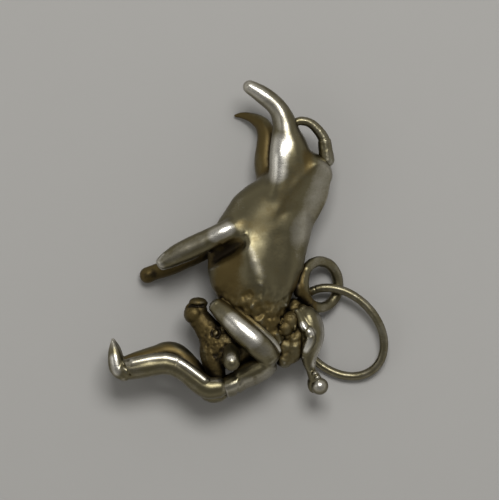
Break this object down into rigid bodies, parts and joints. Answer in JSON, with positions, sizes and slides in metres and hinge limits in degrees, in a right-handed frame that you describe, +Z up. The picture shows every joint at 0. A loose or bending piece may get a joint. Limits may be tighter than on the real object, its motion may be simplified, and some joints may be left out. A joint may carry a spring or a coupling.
{
  "type": "bull charm",
  "caption": "Cast silver pendant charm: a charging bull with a capped man clinging to its lowered head, hung by a soldered bail and a swinging jump ring.",
  "frame": {"origin": "middle of the charm's footprint, on the surface that it lies on", "axes": "+Z up from the surface; +Y along the bull's body towards its rump and hind hooves; +X towards the bull's back and the rings"},
  "size_m": [0.0252, 0.029, 0.0072],
  "materials": {
    "worn_silver": "sterling silver, polished by wear, with fine scratches",
    "tarnished_silver": "sterling silver left as cast, with brown and golden tarnish in its hollows"
  },
  "bodies": {
    "charm": {"bull_trunk": "worn_silver", "bull_neck": "tarnished_silver", "bull_head": "tarnished_silver", "horn_near": "worn_silver", "horn_far": "worn_silver", "hind_leg_near": "worn_silver", "hind_leg_far": "tarnished_silver", "fore_leg_near": "worn_silver", "fore_leg_far": "worn_silver", "tail": "worn_silver", "man_arm_near": "worn_silver", "man_arm_far": "worn_silver", "man_jacket": "worn_silver", "man_sash": "worn_silver", "man_breeches": "worn_silver", "man_leg_near": "worn_silver", "man_leg_far": "tarnished_silver", "man_shoe_near": "worn_silver", "man_shoe_far": "tarnished_silver", "man_head": "tarnished_silver", "cap": "worn_silver", "cap_tassel": "worn_silver", "bail_ring": "worn_silver"},
    "ring": {"jump_ring": "worn_silver"}
  },
  "joints": [
    {"name": "jump_ring_swing", "type": "hinge", "parent": "charm", "child": "ring", "pos_m": [0.00804, -0.00465, 0.00056], "axis": [-0.2731, -0.9397, 0.2058], "range_deg": [-5, 110]}
  ]
}
